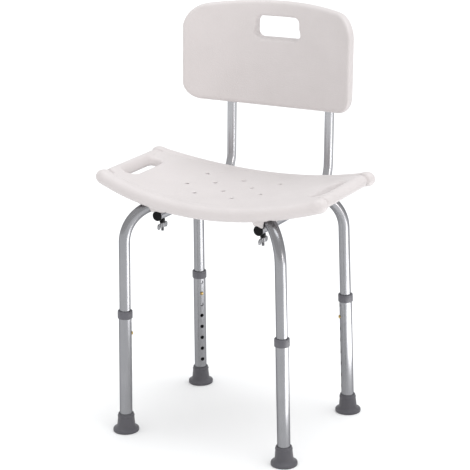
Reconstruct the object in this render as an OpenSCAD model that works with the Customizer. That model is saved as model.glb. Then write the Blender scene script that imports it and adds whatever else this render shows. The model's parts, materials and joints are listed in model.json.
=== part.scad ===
// Shower chair: a dished seat and a curved back on an X frame of bent tube,
// with four telescopic legs. Millimetres, +Z up, the sitter faces -Y.
// The origin is on the floor, under the middle of the chair.

/* [Seat] */
// Width of the seat, end to end
seat_w = 496; // [480:2:504]
// Depth of the seat, front edge to back edge
seat_d = 300; // [290:2:310]
// Height of the sitting surface at its lowest line
seat_z = 490.5; // [486:0.5:494]
// How much higher the seat's ends are than its middle
seat_rise = 38; // [32:1:42]
// How far the seat's middle is set back from the legs' middle
seat_back_shift = 1; // [0:1:8]
// How far the front edge's ends lie behind its middle
front_bow = 30; // [20:1:36]
// How far the rear edge's ends lie ahead of its middle
rear_bow = 32; // [20:1:36]

/* [Backrest] */
// Width of the back panel, side to side
back_w = 376; // [360:2:384]
// Thickness of the back panel
back_t = 22; // [18:1:24]
// Radius of the panel's front face, seen from above
back_r = 315; // [305:5:360]
// Height of the panel's lowest point above the floor
back_bottom = 616; // [608:1:630]
// Height of the panel's highest point above the floor
back_top = 830; // [822:1:840]
// How far the back leans to the rear, in degrees
back_lean = 2.9; // [0:0.1:5]

/* [Frame] */
// Sideways distance from the middle to a foot's centre
foot_x = 177.5; // [172:0.5:182]
// Fore and aft distance from the middle to a foot's centre
foot_y = 146.5; // [142:0.5:150]
// How far each leg leans in towards the middle, in degrees
leg_lean = 1.4; // [0.5:0.1:2]
// How far the upper frame tube is bolted to the side of the middle
upper_tube_side = 4; // [0:1:6]
// Radius of the bends at the tops of the legs, on the centre line
leg_bend_r = 76; // [70:1:80]
// Outer diameter of the frame tubes, which are the upper legs
upper_d = 22.2; // [21.8:0.1:22.2]
// Outer diameter of the lower leg tubes
lower_d = 25.4; // [25.4:0.1:26]
// Outer diameter of the back tubes
back_tube_d = 19; // [18:0.5:20]
// Sideways distance from the middle to a back tube's centre
back_tube_x = 111.5; // [108:0.5:114]

/* [Height adjustment] */
// Distance between neighbouring height holes
hole_pitch = 25; // [24:0.5:25]
// Height of the snap button above the floor, along the leg
button_h = 207.5; // [204:0.5:210]
// Diameter of a snap button
button_d = 7; // [6:0.5:7.5]

/* [Hidden] */

$fn = 64;
cream = [0.91, 0.90, 0.87];
alloy = [0.74, 0.75, 0.77];
steel = [0.62, 0.62, 0.64];
grey = [0.40, 0.40, 0.42];
black = [0.08, 0.08, 0.08];
brass = [0.66, 0.52, 0.26];

wall = 1.2;                 // wall of the frame and back tubes
gap = 0.35;                 // air between the telescoping tubes
upper_r = upper_d / 2;
lower_r = lower_d / 2;
lower_bore_r = upper_r + gap;
back_tube_r = back_tube_d / 2;
bend_slim = 0.02;           // the tubes are drawn this much thinner in their bends
bend_lap = 0.3;             // how far a straight stretch reaches into its bend

// Legs
diagonal = sqrt(foot_x * foot_x + foot_y * foot_y);
diagonal_angle = atan2(foot_y, foot_x);
upper_end_h = 180;          // lowest point of the frame tubes, along the leg
lower_start_h = 9;          // lowest point of the lower leg tubes
lower_end_h = 252.5;        // highest point of the lower leg tubes
holes_above = 1;            // height holes above the snap button
holes_below = 6;            // height holes below it
collar_start_h = 240;
collar_end_h = 256;
collar_r = 15;
foot_h = 38;
foot_r = 26;
foot_neck_r = 16;

// The two frame tubes cross at the middle, one pressed flat on the other
flat_t = 11.4;              // thickness of the flattened stretch
flat_w = 28;                // its width
flat_half = 20;             // half its length
flat_end = 36;              // where the tube is round again
// For each tube: direction, height of its middle, slope down to the middle in degrees, sideways shift
TUBE_A = [diagonal_angle, 457, 5.2, 0];                      // front left to rear right, below
TUBE_B = [180 - diagonal_angle, 469, 1.6, upper_tube_side];  // front right to rear left, above

// Seat
seat_half = seat_w / 2;
seat_front = seat_back_shift - seat_d / 2;
seat_rear = seat_back_shift + seat_d / 2;
seat_r = (seat_half * seat_half + seat_rise * seat_rise) / (2 * seat_rise);
seat_t = 18;                // thickness of the sitting field
rim_r = 14;                 // radius of the rolled front and rear rims
rim_proud = 1.2;            // how far the rims stand above the field
bar_r = 12;                 // radius of the handle bars at the ends
bar_x = seat_half - bar_r - 2;
bow_x = seat_half - 10;     // where the edges' bow is measured
channel_l = 184;            // length of each arm of a channel, from the middle
slot_w = 30;                // width of a handle slot
slot_l = 112;               // length of a handle slot
slot_x = bar_x - bar_r - slot_w / 2;
slot_y = seat_back_shift - 8; // a handle slot's centre
drain_r = 4;
drain_pitch = 41;
boss_z = 455;               // underside of the four seat bosses
boss_at = [117, 96];        // centre of a boss, from the middle

// Back tubes and the bolts that hold them
run_z = 449;                // height of the back tubes under the seat
run_front = -110;           // their front ends
back_bend_r = 65;
line_y = 186;               // the upright stretch passes this point
line_z = 459;
upright_y = line_y + (run_z + back_bend_r - line_z) * tan(back_lean);
bend_y = upright_y - back_bend_r / cos(back_lean);
back_tube_top = 800;        // upper end of the back tubes
cross_y = back_tube_x * foot_y / foot_x;
stud_r = 3;
stud_bottom = 415;
washer_top = run_z - back_tube_r + 1.5;
washer_bottom = 432;
nut_h = 9;

// Back panel, in a frame that leans with the back tubes
panel_front = -36;          // its front face from the back tubes' centres, at the tubes
panel_mid_y = panel_front + back_r - sqrt(back_r * back_r - back_tube_x * back_tube_x);
panel_low = back_bottom - line_z;
panel_high = back_top - line_z;
panel_arch_r = 1076;        // radius of the top edge
panel_belly_r = 1568;       // radius of the bottom edge
panel_top_corner = 42;      // radius of the top corners
panel_low_corner = 33;      // radius of the bottom corners
back_slot_w = 98;
back_slot_h = 44;
back_slot_z = 778 - line_z; // centre of the slot
panel_screw_z = [665 - line_z, 775 - line_z];

// The back reaches further than the legs, so the origin lies this far behind the legs' middle.
middle_y = round((line_y + (back_tube_top - line_z) * tan(back_lean) + back_tube_r - foot_y - foot_r) / 2);

CORNERS = [[-1, -1], [1, -1], [-1, 1], [1, 1]];

// Everything below is built round the legs' middle; this moves it to the origin.
module placed() {
  translate([0, -middle_y, 0]) children();
}

function tube_of(corner) = corner[0] * corner[1] > 0 ? TUBE_A : TUBE_B;
function foot_at(corner) = [corner[0] * foot_x + tube_of(corner)[3], corner[1] * foot_y, 0];

// Puts a leg's children at their corner, with the leg's axis as +Z and outward as +X.
module at_leg(corner) {
  translate(foot_at(corner)) rotate([0, 0, atan2(corner[1] * foot_y, corner[0] * foot_x)])
    rotate([0, -leg_lean, 0]) children();
}

// Turns both halves of a frame tube, drawn along +X from the chair's middle, into their places.
module both_ways(tube) {
  translate([tube[3], 0, 0]) for (side = [0, 180]) rotate([0, 0, tube[0] + side]) children();
}

module stadium(length, width) {
  square([length - width, width], center = true);
  for (s = [-1, 1]) translate([s * (length - width) / 2, 0]) circle(d = width);
}

module rounded_rect(x, y, r) {
  square([x - 2 * r, y], center = true);
  square([x, y - 2 * r], center = true);
  for (i = [-1, 1], j = [-1, 1]) translate([i * (x / 2 - r), j * (y / 2 - r)]) circle(r);
}

// Where a frame tube's bend starts on the leg, as a height along the floor's normal.
function bend_start(tube) =
  (tube[1] + tan(tube[2]) * (diagonal - leg_bend_r * (cos(leg_lean) + sin(tube[2])))
    + leg_bend_r * (sin(leg_lean) - cos(tube[2]))) / (1 + tan(tube[2]) * tan(leg_lean));

// The middle of the bend at the top of a leg, as [distance from the chair's middle, height].
function bend_middle(tube) = let (z = bend_start(tube))
  [diagonal - tan(leg_lean) * z - leg_bend_r * cos(leg_lean), z - leg_bend_r * sin(leg_lean)];

module frame_leg(radius, tube, from_h) {
  start_z = bend_start(tube);
  length = start_z / cos(leg_lean) - from_h;
  translate([diagonal - tan(leg_lean) * start_z, 0, start_z]) rotate([0, -leg_lean, 0])
    translate([0, 0, -length]) cylinder(r = radius, h = length + bend_lap);
}

module frame_bend(radius, tube) {
  middle = bend_middle(tube);
  translate([middle[0], 0, middle[1]]) rotate([90, 0, 0]) rotate([0, 0, leg_lean])
    rotate_extrude(angle = 90 - leg_lean + tube[2]) translate([leg_bend_r, 0]) circle(radius - bend_slim);
}

// The straight run from a bend to run_end from the chair's middle.
module frame_run(radius, tube, run_end) {
  end_x = bend_middle(tube)[0] - leg_bend_r * sin(tube[2]);
  end_z = bend_middle(tube)[1] + leg_bend_r * cos(tube[2]);
  translate([end_x, 0, end_z]) rotate([0, -90 - tube[2], 0])
    translate([0, 0, -bend_lap]) cylinder(r = radius, h = (end_x - run_end) / cos(tube[2]) + bend_lap);
}

module frame_half(radius, tube, from_h, run_end) {
  frame_leg(radius, tube, from_h);
  frame_bend(radius, tube);
  frame_run(radius, tube, run_end);
}

// Half of the flattened middle with its swaged end.
module frame_middle(tube) {
  translate([-1, 0, tube[1]]) rotate([90, 0, 90]) linear_extrude(flat_half + 1) stadium(flat_w, flat_t);
  hull() {
    translate([flat_half - 0.5, 0, tube[1]]) rotate([90, 0, 90]) linear_extrude(0.01)
      stadium(flat_w - 0.4, flat_t - 0.4, $fn = 32);
    translate([flat_end + 0.5, 0, tube[1] + flat_end * tan(tube[2])]) rotate([0, -90 - tube[2], 0])
      cylinder(r = upper_r - 0.3, h = 0.01, $fn = 32);
  }
}

module frame_tube(tube, bolts) {
  color(alloy) difference() {
    both_ways(tube) {
      frame_half(upper_r, tube, upper_end_h, flat_end);
      frame_middle(tube);
    }
    both_ways(tube) {
      frame_half(upper_r - wall, tube, upper_end_h - 1, flat_end + 4);
      frame_screw_hole(tube);
      translate([diagonal, 0, 0]) rotate([0, -leg_lean, 0]) translate([0, 0, button_h])
        rotate([0, -90, 0]) cylinder(d = button_d + 0.6, h = upper_r + 1);
    }
    for (p = bolts) translate([p[0], p[1], 430]) cylinder(r = stud_r + 0.4, h = 60);
    translate([0, 0, 430]) cylinder(r = stud_r + 0.3, h = 60);
  }
}

// Clearance for the screw that holds a run up against the seat.
frame_screw_s = 84;
function frame_screw_z(tube) = tube[1] + frame_screw_s * tan(tube[2]);
module frame_screw_hole(tube) {
  translate([frame_screw_s, 0, frame_screw_z(tube) - 20]) cylinder(r = 2.3, h = 40);
}

module frame_tube_a() {
  frame_tube(TUBE_A, [[-back_tube_x, -cross_y], [back_tube_x, cross_y]]);
}

module frame_tube_b() {
  frame_tube(TUBE_B, [[back_tube_x, -cross_y], [-back_tube_x, cross_y]]);
}

module cross_bolt() {
  color(steel) {
    translate([0, 0, 446]) cylinder(r = stud_r, h = 39);
    translate([0, 0, TUBE_A[1] - flat_t / 2 - 4.2]) cylinder(r = 5.5, h = 4.1, $fn = 6);
  }
}

// Square nut moulded into the seat above the crossing.
module cross_nut() {
  color(steel) difference() {
    translate([-5.5, -5.5, 476.5]) cube([11, 11, 6]);
    translate([0, 0, 470]) cylinder(r = stud_r + 0.05, h = 20);
  }
}

frame_screw_top = 485.5;
module frame_screws() {
  color(steel) for (tube = [TUBE_A, TUBE_B]) both_ways(tube) {
    head_z = frame_screw_z(tube) - upper_r - 3.1;
    translate([frame_screw_s, 0, head_z + 0.6]) cylinder(r = 1.9, h = frame_screw_top - head_z - 0.6);
    translate([frame_screw_s, 0, head_z]) cylinder(r1 = 3.4, r2 = 4.2, h = 2.4);
  }
}

// ---- Seat ----

function seat_top(x) = seat_z + seat_r - sqrt(seat_r * seat_r - x * x);

// Sweeps a flat shape along the seat's dish; its X is the distance from the dish's axis, its Y is -Y.
module dish_sweep(angle) {
  translate([0, 0, seat_z + seat_r]) rotate([90, 0, 0]) rotate([0, 0, -90 - angle])
    rotate_extrude(angle = 2 * angle, $fn = 720) children();
}

// A rolled rim follows the dish and also bows in plan, so it is one ring's arc in a tilted plane.
rim_mid_z = seat_z + rim_proud - rim_r;
rim_ring = seat_r + rim_r - rim_proud;
rim_lift = rim_ring - sqrt(rim_ring * rim_ring - bow_x * bow_x);

module rim(side, bow) {
  sagitta = sqrt(rim_lift * rim_lift + bow * bow);
  ring_r = (bow_x * bow_x + sagitta * sagitta) / (2 * sagitta);
  turn = asin(seat_half / (ring_r + rim_r));
  translate([0, seat_back_shift + side * (seat_d / 2 - rim_r), rim_mid_z])
    rotate([side * atan2(bow, rim_lift), 0, 0]) translate([0, 0, ring_r])
      rotate([90, 0, 0]) rotate([0, 0, -90 - turn])
        rotate_extrude(angle = 2 * turn, $fn = 720) translate([ring_r, 0]) circle(rim_r, $fn = 64);
}

// Outline of the field in plan, which ends inside the rims.
function bow_circle(bow) = (bow_x * bow_x + bow * bow) / (2 * bow);
module field_edge(side, bow) {
  translate([0, seat_back_shift + side * (seat_d / 2 - rim_r - bow_circle(bow))])
    circle(bow_circle(bow), $fn = 720);
}

// Where a rim's centre line meets a handle bar, from the seat's middle.
function bar_end(bow) = seat_d / 2 - rim_r - bow * pow(bar_x / bow_x, 2);

// Drain holes in four staggered rows over the middle of the field.
drain_holes = [for (row = [0:3], col = [-2:2]) if ((row + col) % 2 != 0)
  [col * drain_pitch - 12, seat_back_shift - 4 + (row - 1.5) * drain_pitch]];

module seat_solid() {
  intersection() {
    dish_sweep(asin(bar_x / seat_r)) translate([seat_r, -seat_rear]) square([seat_t, seat_d]);
    translate([0, 0, 400]) linear_extrude(200) intersection() {
      field_edge(-1, front_bow);
      field_edge(1, rear_bow);
    }
  }
  rim(-1, front_bow);
  rim(1, rear_bow);
  bar_z = seat_top(bar_x) + rim_proud - bar_r - 1;
  for (s = [-1, 1])
    translate([s * bar_x, seat_back_shift - bar_end(front_bow), bar_z])
      rotate([-90, 0, 0]) cylinder(r = bar_r, h = bar_end(front_bow) + bar_end(rear_bow));
  for (c = CORNERS) translate([c[0] * boss_at[0], c[1] * boss_at[1], boss_z])
    cylinder(r1 = 20, r2 = 34, h = seat_top(90) - 6 - boss_z);
}

// The channel that one half of a frame tube lies in, open to below.
module channel(tube) {
  translate([0, 0, tube[1]]) rotate([0, -tube[2], 0]) {
    rotate([0, 90, 0]) cylinder(r = upper_r + 0.3, h = channel_l);
    translate([0, -upper_r - 0.15, -60]) cube([channel_l + 30, upper_d + 0.3, 60]);
  }
  translate([-1, -flat_w / 2 - 0.4, 440]) cube([flat_end + 5, flat_w + 0.8, tube[1] + flat_t / 2 + 0.4 - 440]);
}

module seat_panel() {
  color(cream) difference() {
    seat_solid();
    for (s = [-1, 1]) translate([s * slot_x, slot_y, 440]) linear_extrude(120)
      rotate(90) stadium(slot_l, slot_w);
    for (p = drain_holes) translate([p[0], p[1], 440]) cylinder(r = drain_r, h = 100);
    for (tube = [TUBE_A, TUBE_B]) both_ways(tube) {
      channel(tube);
      translate([frame_screw_s, 0, 440]) cylinder(r = 2, h = frame_screw_top + 0.5 - 440);
    }
    for (s = [-1, 1]) {
      translate([s * back_tube_x, -200, run_z]) rotate([-90, 0, 0]) cylinder(r = back_tube_r + 1, h = 400);
      for (y = [-1, 1]) translate([s * back_tube_x, y * cross_y, 440]) cylinder(r = 4.6, h = 54.6);
    }
    translate([-5.7, -5.7, 440]) cube([11.4, 11.4, 45.4]);
  }
}

// Brass inserts moulded into the seat for the four bolts at the tube crossings.
module seat_inserts() {
  color(brass) for (c = CORNERS) translate([c[0] * back_tube_x, c[1] * cross_y, 484.6]) difference() {
    cylinder(r = 4.5, h = 9.8);
    translate([0, 0, -1]) cylinder(r = stud_r + 0.05, h = 9.4);
  }
}

// ---- Back tubes and their bolts ----

module back_tube_shape(radius, front, top) {
  translate([0, front, run_z]) rotate([-90, 0, 0]) cylinder(r = radius, h = bend_y - front + bend_lap);
  translate([0, bend_y, run_z + back_bend_r]) rotate([90, 0, 90]) rotate([0, 0, -90])
    rotate_extrude(angle = 90 - back_lean) translate([back_bend_r, 0]) circle(radius - bend_slim);
  bend_end = back_bend_r * tan(back_lean) + bend_lap;
  translate([0, upright_y, run_z + back_bend_r]) rotate([-back_lean, 0, 0]) translate([0, 0, -bend_end])
    cylinder(r = radius, h = (top - run_z - back_bend_r) / cos(back_lean) + bend_end);
}

module back_tube(side) {
  color(alloy) difference() {
    translate([side * back_tube_x, 0, 0]) back_tube_shape(back_tube_r, run_front, back_tube_top);
    translate([side * back_tube_x, 0, 0]) back_tube_shape(back_tube_r - wall, run_front - 1, back_tube_top + 2);
    for (y = [-1, 1]) translate([side * back_tube_x, y * cross_y, 430]) cylinder(r = stud_r + 0.4, h = 40);
    for (z = panel_screw_z) in_panel_frame() translate([side * back_tube_x, 0, z])
      rotate([90, 0, 0]) cylinder(r = 2.2, h = 40, center = true);
  }
}

module end_plug(depth, cap_r) {
  cylinder(r = cap_r, h = 2);
  translate([0, 0, 1.5]) cylinder(r = back_tube_r - wall - 0.05, h = depth);
}

module front_plug(side) {
  color(black) translate([side * back_tube_x, run_front - 2.05, run_z]) rotate([-90, 0, 0]) end_plug(9, back_tube_r + 0.6);
}

module top_plugs() {
  color(black) for (side = [-1, 1])
    translate([side * back_tube_x, upright_y + (back_tube_top - run_z - back_bend_r) * tan(back_lean), back_tube_top])
      rotate([-back_lean, 0, 0]) translate([0, 0, 2.05]) rotate([180, 0, 0]) end_plug(12, back_tube_r - 0.1);
}

// Spacers with a hollow on each side, between a frame tube and a back tube.
module tube_spacers() {
  color(black) for (c = CORNERS) difference() {
    translate([c[0] * back_tube_x, c[1] * cross_y, 454]) cylinder(r = 6.5, h = 11);
    translate([c[0] * back_tube_x, c[1] * cross_y, 450]) cylinder(r = stud_r + 0.4, h = 20);
    translate([c[0] * back_tube_x, -200, run_z]) rotate([-90, 0, 0]) cylinder(r = back_tube_r + 0.05, h = 400);
    both_ways(tube_of(c)) {
      frame_bend(upper_r + 0.07, tube_of(c));
      frame_run(upper_r + 0.3, tube_of(c), 100);
    }
  }
}

module stud(side, y, bottom) {
  translate([side * back_tube_x, y * cross_y, bottom]) cylinder(r = stud_r, h = 492.5 - bottom);
}

module stud_washer(side) {
  color(black) difference() {
    translate([side * back_tube_x, -cross_y, washer_bottom]) cylinder(r = 5.5, h = washer_top - washer_bottom);
    translate([side * back_tube_x, -cross_y, washer_bottom - 1]) cylinder(r = stud_r + 0.3, h = 30);
    translate([side * back_tube_x, -200, run_z]) rotate([-90, 0, 0]) cylinder(r = back_tube_r + 0.05, h = 400);
  }
}

// Two thin lobes on a round hub.
module wing_nut(side) {
  color(steel) translate([side * back_tube_x, -cross_y, washer_bottom - nut_h - 0.05]) difference() {
    union() {
      cylinder(r1 = 4.6, r2 = 6, h = nut_h);
      for (s = [-1, 1]) rotate([0, 0, 90]) translate([0, 1.2, 0]) rotate([90, 0, 0]) linear_extrude(2.4)
        union() {
          translate([s * 13, 2]) circle(5.5);
          polygon([[0, 0.5], [s * 12, -3.2], [s * 14, 7.2], [0, 8.5]]);
        }
    }
    translate([0, 0, -6]) cylinder(r = stud_r + 0.05, h = 30);
  }
}

module rear_bolts() {
  color(steel) for (side = [-1, 1]) {
    stud(side, 1, run_z - back_tube_r - 1);
    translate([side * back_tube_x, cross_y, run_z - back_tube_r - 4.4]) cylinder(r = 5.8, h = 4, $fn = 6);
  }
}

// ---- Back panel ----

// The frame that leans with the back tubes' upright stretch; its Z axis is their centre plane.
module in_panel_frame() {
  translate([0, line_y, line_z]) rotate([-back_lean, 0, 0]) children();
}

function arc_points(middle, r, from, to, steps, first = 0) =
  [for (i = [first:steps - first]) let (a = from + (to - from) * i / steps) middle + r * [cos(a), sin(a)]];

// A shallow arch above, a shallower belly below, and round corners that run into both.
module panel_outline() {
  top_x = back_w / 2 - panel_top_corner;
  low_x = back_w / 2 - panel_low_corner;
  top_rise = sqrt(pow(panel_arch_r - panel_top_corner, 2) - top_x * top_x);
  low_rise = sqrt(pow(panel_belly_r - panel_low_corner, 2) - low_x * low_x);
  arch_z = panel_high - panel_arch_r;
  belly_z = panel_low + panel_belly_r;
  a = atan2(top_rise, top_x);
  b = atan2(low_rise, low_x);
  polygon(concat(
    arc_points([top_x, arch_z + top_rise], panel_top_corner, 0, a, 10),
    arc_points([0, arch_z], panel_arch_r, a, 180 - a, 20, 1),
    arc_points([-top_x, arch_z + top_rise], panel_top_corner, 180 - a, 180, 10),
    arc_points([-low_x, belly_z - low_rise], panel_low_corner, 180, 180 + b, 10),
    arc_points([0, belly_z], panel_belly_r, 180 + b, 360 - b, 20, 1),
    arc_points([low_x, belly_z - low_rise], panel_low_corner, 360 - b, 360, 10)));
}

module back_panel() {
  color(cream) in_panel_frame() difference() {
    union() {
      intersection() {
        translate([0, panel_mid_y - back_r, panel_low - 10]) linear_extrude(panel_high - panel_low + 20)
          difference() {
            circle(back_r + back_t, $fn = 720);
            circle(back_r, $fn = 720);
          }
        translate([0, 100, 0]) rotate([90, 0, 0]) linear_extrude(200) panel_outline();
      }
      for (s = [-1, 1]) translate([s * back_tube_x - 14, panel_front + 10, panel_low + 20])
        cube([28, -panel_front - 10, back_tube_top - line_z - panel_low - 10]);
    }
    for (s = [-1, 1]) {
      translate([s * back_tube_x, 0, 0]) cylinder(r = back_tube_r + 0.2, h = 360);
      translate([s * back_tube_x - back_tube_r - 0.2, 0, 0]) cube([back_tube_d + 0.4, 20, 360]);
      for (z = panel_screw_z) translate([s * back_tube_x, -6, z]) rotate([90, 0, 0]) cylinder(r = 1.8, h = 18);
    }
    translate([0, 100, back_slot_z]) rotate([90, 0, 0]) linear_extrude(200)
      rounded_rect(back_slot_w, back_slot_h, 12);
  }
}

module back_panel_screws() {
  color(steel) for (s = [-1, 1], z = panel_screw_z) in_panel_frame() translate([s * back_tube_x, 0, z])
    rotate([90, 0, 0]) {
      translate([0, 0, -back_tube_r - 1]) cylinder(r = 1.7, h = 33);
      translate([0, 0, -back_tube_r - 2.6]) cylinder(r1 = 3, r2 = 4, h = 2.4);
    }
}

// ---- Lower legs ----

module lower_leg(corner) {
  color(alloy) at_leg(corner) difference() {
    translate([0, 0, lower_start_h]) cylinder(r = lower_r, h = lower_end_h - lower_start_h);
    translate([0, 0, lower_start_h - 1]) cylinder(r = lower_bore_r, h = lower_end_h);
    for (i = [-holes_below:holes_above]) translate([0, 0, button_h + i * hole_pitch])
      rotate([0, -90, 0]) cylinder(d = button_d + 0.8, h = lower_r + 1);
  }
}

module collar(corner) {
  color(grey) at_leg(corner) difference() {
    translate([0, 0, collar_start_h]) cylinder(r = collar_r, h = collar_end_h - collar_start_h);
    translate([0, 0, collar_start_h - 1]) cylinder(r = lower_r + 0.05, h = lower_end_h - collar_start_h + 1.05);
    translate([0, 0, collar_start_h]) cylinder(r = upper_r + gap, h = 30);
  }
}

// Rubber tip: a tapered socket on a wide flat flange that stands on the floor.
module foot(corner) {
  color(grey) difference() {
    union() {
      translate(foot_at(corner)) {
        cylinder(r = foot_r, h = 4);
        translate([0, 0, 4]) cylinder(r1 = foot_r, r2 = 19, h = 5);
      }
      at_leg(corner) translate([0, 0, 3]) cylinder(r1 = 21.5, r2 = foot_neck_r, h = foot_h - 3);
    }
    at_leg(corner) translate([0, 0, lower_start_h - 2.1]) cylinder(r = lower_r + 0.05, h = foot_h);
  }
}

module foot_washer(corner) {
  color(steel) at_leg(corner) translate([0, 0, lower_start_h - 2.05]) difference() {
    cylinder(r = lower_r, h = 2);
    translate([0, 0, -1]) cylinder(r = 3, h = 4);
  }
}

// ---- Snap buttons ----

button_tip_r = lower_r + 3;      // how far the button's top stands from the leg's axis
button_back_r = upper_r - wall - 2.2;

module snap_button(corner) {
  color(brass) at_leg(corner) translate([0, 0, button_h]) rotate([0, -90, 0]) {
    translate([0, 0, button_back_r]) cylinder(d = button_d, h = button_tip_r - 1.6 - button_back_r);
    intersection() {
      translate([0, 0, button_back_r]) cylinder(d = button_d, h = 20);
      translate([0, 0, button_tip_r - 4.6]) sphere(4.6);
    }
  }
}

// Bent strip of spring steel: one arm behind the button, one against the far wall.
spring_t = 0.7;
spring_w = 8;
spring_l = 42;
module button_spring(corner) {
  far = upper_r - wall - 1.6;
  near = button_back_r - 0.3;
  fold_r = 3;
  fold_y = spring_l - fold_r;
  color(steel) at_leg(corner) translate([0, -spring_w / 2, button_h]) rotate([-90, 0, 0])
    linear_extrude(spring_w) mirror([0, 1]) polygon(concat(
      [[-near + spring_t, -6], [-near, -6]],
      [for (a = [180:-15:0]) [(fold_r + spring_t) * cos(a), fold_y + (fold_r + spring_t) * sin(a)]],
      [[far, -6], [far - spring_t, -6]],
      [for (a = [0:15:180]) [fold_r * cos(a), fold_y + fold_r * sin(a)]]));
}

placed() seat_panel();
placed() seat_inserts();
placed() frame_tube_a();
placed() frame_tube_b();
placed() cross_bolt();
placed() cross_nut();
placed() frame_screws();
placed() tube_spacers();
placed() color(steel) stud(-1, -1, stud_bottom);  // front_stud_left
placed() color(steel) stud(1, -1, stud_bottom);  // front_stud_right
placed() stud_washer(-1);  // stud_washer_left
placed() stud_washer(1);  // stud_washer_right
placed() wing_nut(-1);  // wing_nut_left
placed() wing_nut(1);  // wing_nut_right
placed() rear_bolts();
placed() back_tube(-1);  // back_tube_left
placed() back_tube(1);  // back_tube_right
placed() front_plug(-1);  // front_plug_left
placed() front_plug(1);  // front_plug_right
placed() top_plugs();
placed() back_panel();
placed() back_panel_screws();
placed() lower_leg(CORNERS[0]);  // lower_leg_front_left
placed() lower_leg(CORNERS[1]);  // lower_leg_front_right
placed() lower_leg(CORNERS[2]);  // lower_leg_rear_left
placed() lower_leg(CORNERS[3]);  // lower_leg_rear_right
placed() collar(CORNERS[0]);  // collar_front_left
placed() collar(CORNERS[1]);  // collar_front_right
placed() collar(CORNERS[2]);  // collar_rear_left
placed() collar(CORNERS[3]);  // collar_rear_right
placed() foot(CORNERS[0]);  // foot_front_left
placed() foot(CORNERS[1]);  // foot_front_right
placed() foot(CORNERS[2]);  // foot_rear_left
placed() foot(CORNERS[3]);  // foot_rear_right
placed() foot_washer(CORNERS[0]);  // foot_washer_front_left
placed() foot_washer(CORNERS[1]);  // foot_washer_front_right
placed() foot_washer(CORNERS[2]);  // foot_washer_rear_left
placed() foot_washer(CORNERS[3]);  // foot_washer_rear_right
placed() snap_button(CORNERS[0]);  // snap_button_front_left
placed() snap_button(CORNERS[1]);  // snap_button_front_right
placed() snap_button(CORNERS[2]);  // snap_button_rear_left
placed() snap_button(CORNERS[3]);  // snap_button_rear_right
placed() button_spring(CORNERS[0]);  // button_spring_front_left
placed() button_spring(CORNERS[1]);  // button_spring_front_right
placed() button_spring(CORNERS[2]);  // button_spring_rear_left
placed() button_spring(CORNERS[3]);  // button_spring_rear_right
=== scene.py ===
"""The looks of a shower chair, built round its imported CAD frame.

Lengths are millimetres from the floor point between the four legs until place() turns them
into the frame's metres. The sitter faces -Y.
"""

import json
import math

import bpy
import numpy as np
from mathutils import Matrix, Vector


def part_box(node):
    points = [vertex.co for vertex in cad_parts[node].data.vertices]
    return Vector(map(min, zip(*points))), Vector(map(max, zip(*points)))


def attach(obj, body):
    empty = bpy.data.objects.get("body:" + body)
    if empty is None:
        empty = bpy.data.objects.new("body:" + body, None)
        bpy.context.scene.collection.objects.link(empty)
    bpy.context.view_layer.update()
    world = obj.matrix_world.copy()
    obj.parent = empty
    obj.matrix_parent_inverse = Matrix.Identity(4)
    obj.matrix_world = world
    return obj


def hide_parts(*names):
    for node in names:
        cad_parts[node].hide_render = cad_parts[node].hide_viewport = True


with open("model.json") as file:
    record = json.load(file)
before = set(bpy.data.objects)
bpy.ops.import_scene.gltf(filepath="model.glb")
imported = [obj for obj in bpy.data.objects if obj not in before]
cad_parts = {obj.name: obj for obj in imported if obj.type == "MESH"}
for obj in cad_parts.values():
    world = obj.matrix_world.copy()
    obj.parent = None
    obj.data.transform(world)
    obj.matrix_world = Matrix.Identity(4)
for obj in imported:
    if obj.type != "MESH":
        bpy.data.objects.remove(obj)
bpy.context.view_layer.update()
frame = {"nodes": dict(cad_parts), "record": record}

MM = 0.001
CORNERS = {"front_left": (-1, -1), "front_right": (1, -1), "rear_left": (-1, 1), "rear_right": (1, 1)}
SIDES = {"left": -1, "right": 1}

# ---- Sizes: what the frame gives, then what it doesn't ----

feet = {name: sum(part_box("foot_" + name), Vector()) / 2 for name in CORNERS}
legs_mid = Vector((0, sum(f.y for f in feet.values()) / 4, 0))
foot_x = (feet["front_right"].x - feet["rear_left"].x) / 2 / MM
tube_side = (feet["front_right"].x + feet["rear_left"].x) / 2 / MM
foot_y = (feet["rear_right"].y - legs_mid.y) / MM
diagonal = math.hypot(foot_x, foot_y)

seat_low, seat_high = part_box("seat_panel")
seat_half = seat_high.x / MM
seat_front = (seat_low.y - legs_mid.y) / MM
seat_rear = (seat_high.y - legs_mid.y) / MM
seat_mid_y = (seat_front + seat_rear) / 2
seat_depth = seat_rear - seat_front
seat_z, seat_rise = 490.5, 38.0
seat_r = (seat_half**2 + seat_rise**2) / (2 * seat_rise)
dish_z = seat_z + seat_r
seat_t, slab_edge_r = 18.0, 6.0
rim_r, rim_proud = 14.0, 1.2  # the rolled front and rear rims, and how far they stand above the field
front_bow, rear_bow, bow_x = 30.0, 32.0, 238.0  # how far the long edges bow, and where that is measured
bar_r, bar_x = 12.0, 234.0
bar_z = dish_z - math.sqrt(seat_r**2 - bar_x**2) + rim_proud - bar_r - 1
line_in, line_deep, line_half = 13.0, 0.7, 2.2  # the groove between a rolled edge and the sitting field
notch_in, notch_deep, notch_half = 15.0, 4.5, 3.2  # the groove between a bar's end and a rim
slot_w, slot_l, slot_edge_r = 30.0, 112.0, 7.0
slot_x = bar_x - bar_r - slot_w / 2
slot_ahead = 8.0  # how far the handle slots lie in front of the seat's middle
slot_taper, slot_true_at = 0.4, 5.0  # how fast a slot narrows, and the depth where it has its own width
drain_r, drain_edge_r, drain_pitch = 4.0, 1.6, 41.0
boss_z, boss_x, boss_y, boss_r, boss_flare = 455.0, 117.0, 96.0, 20.0, 14.0
channel_half = 195.0

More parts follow.
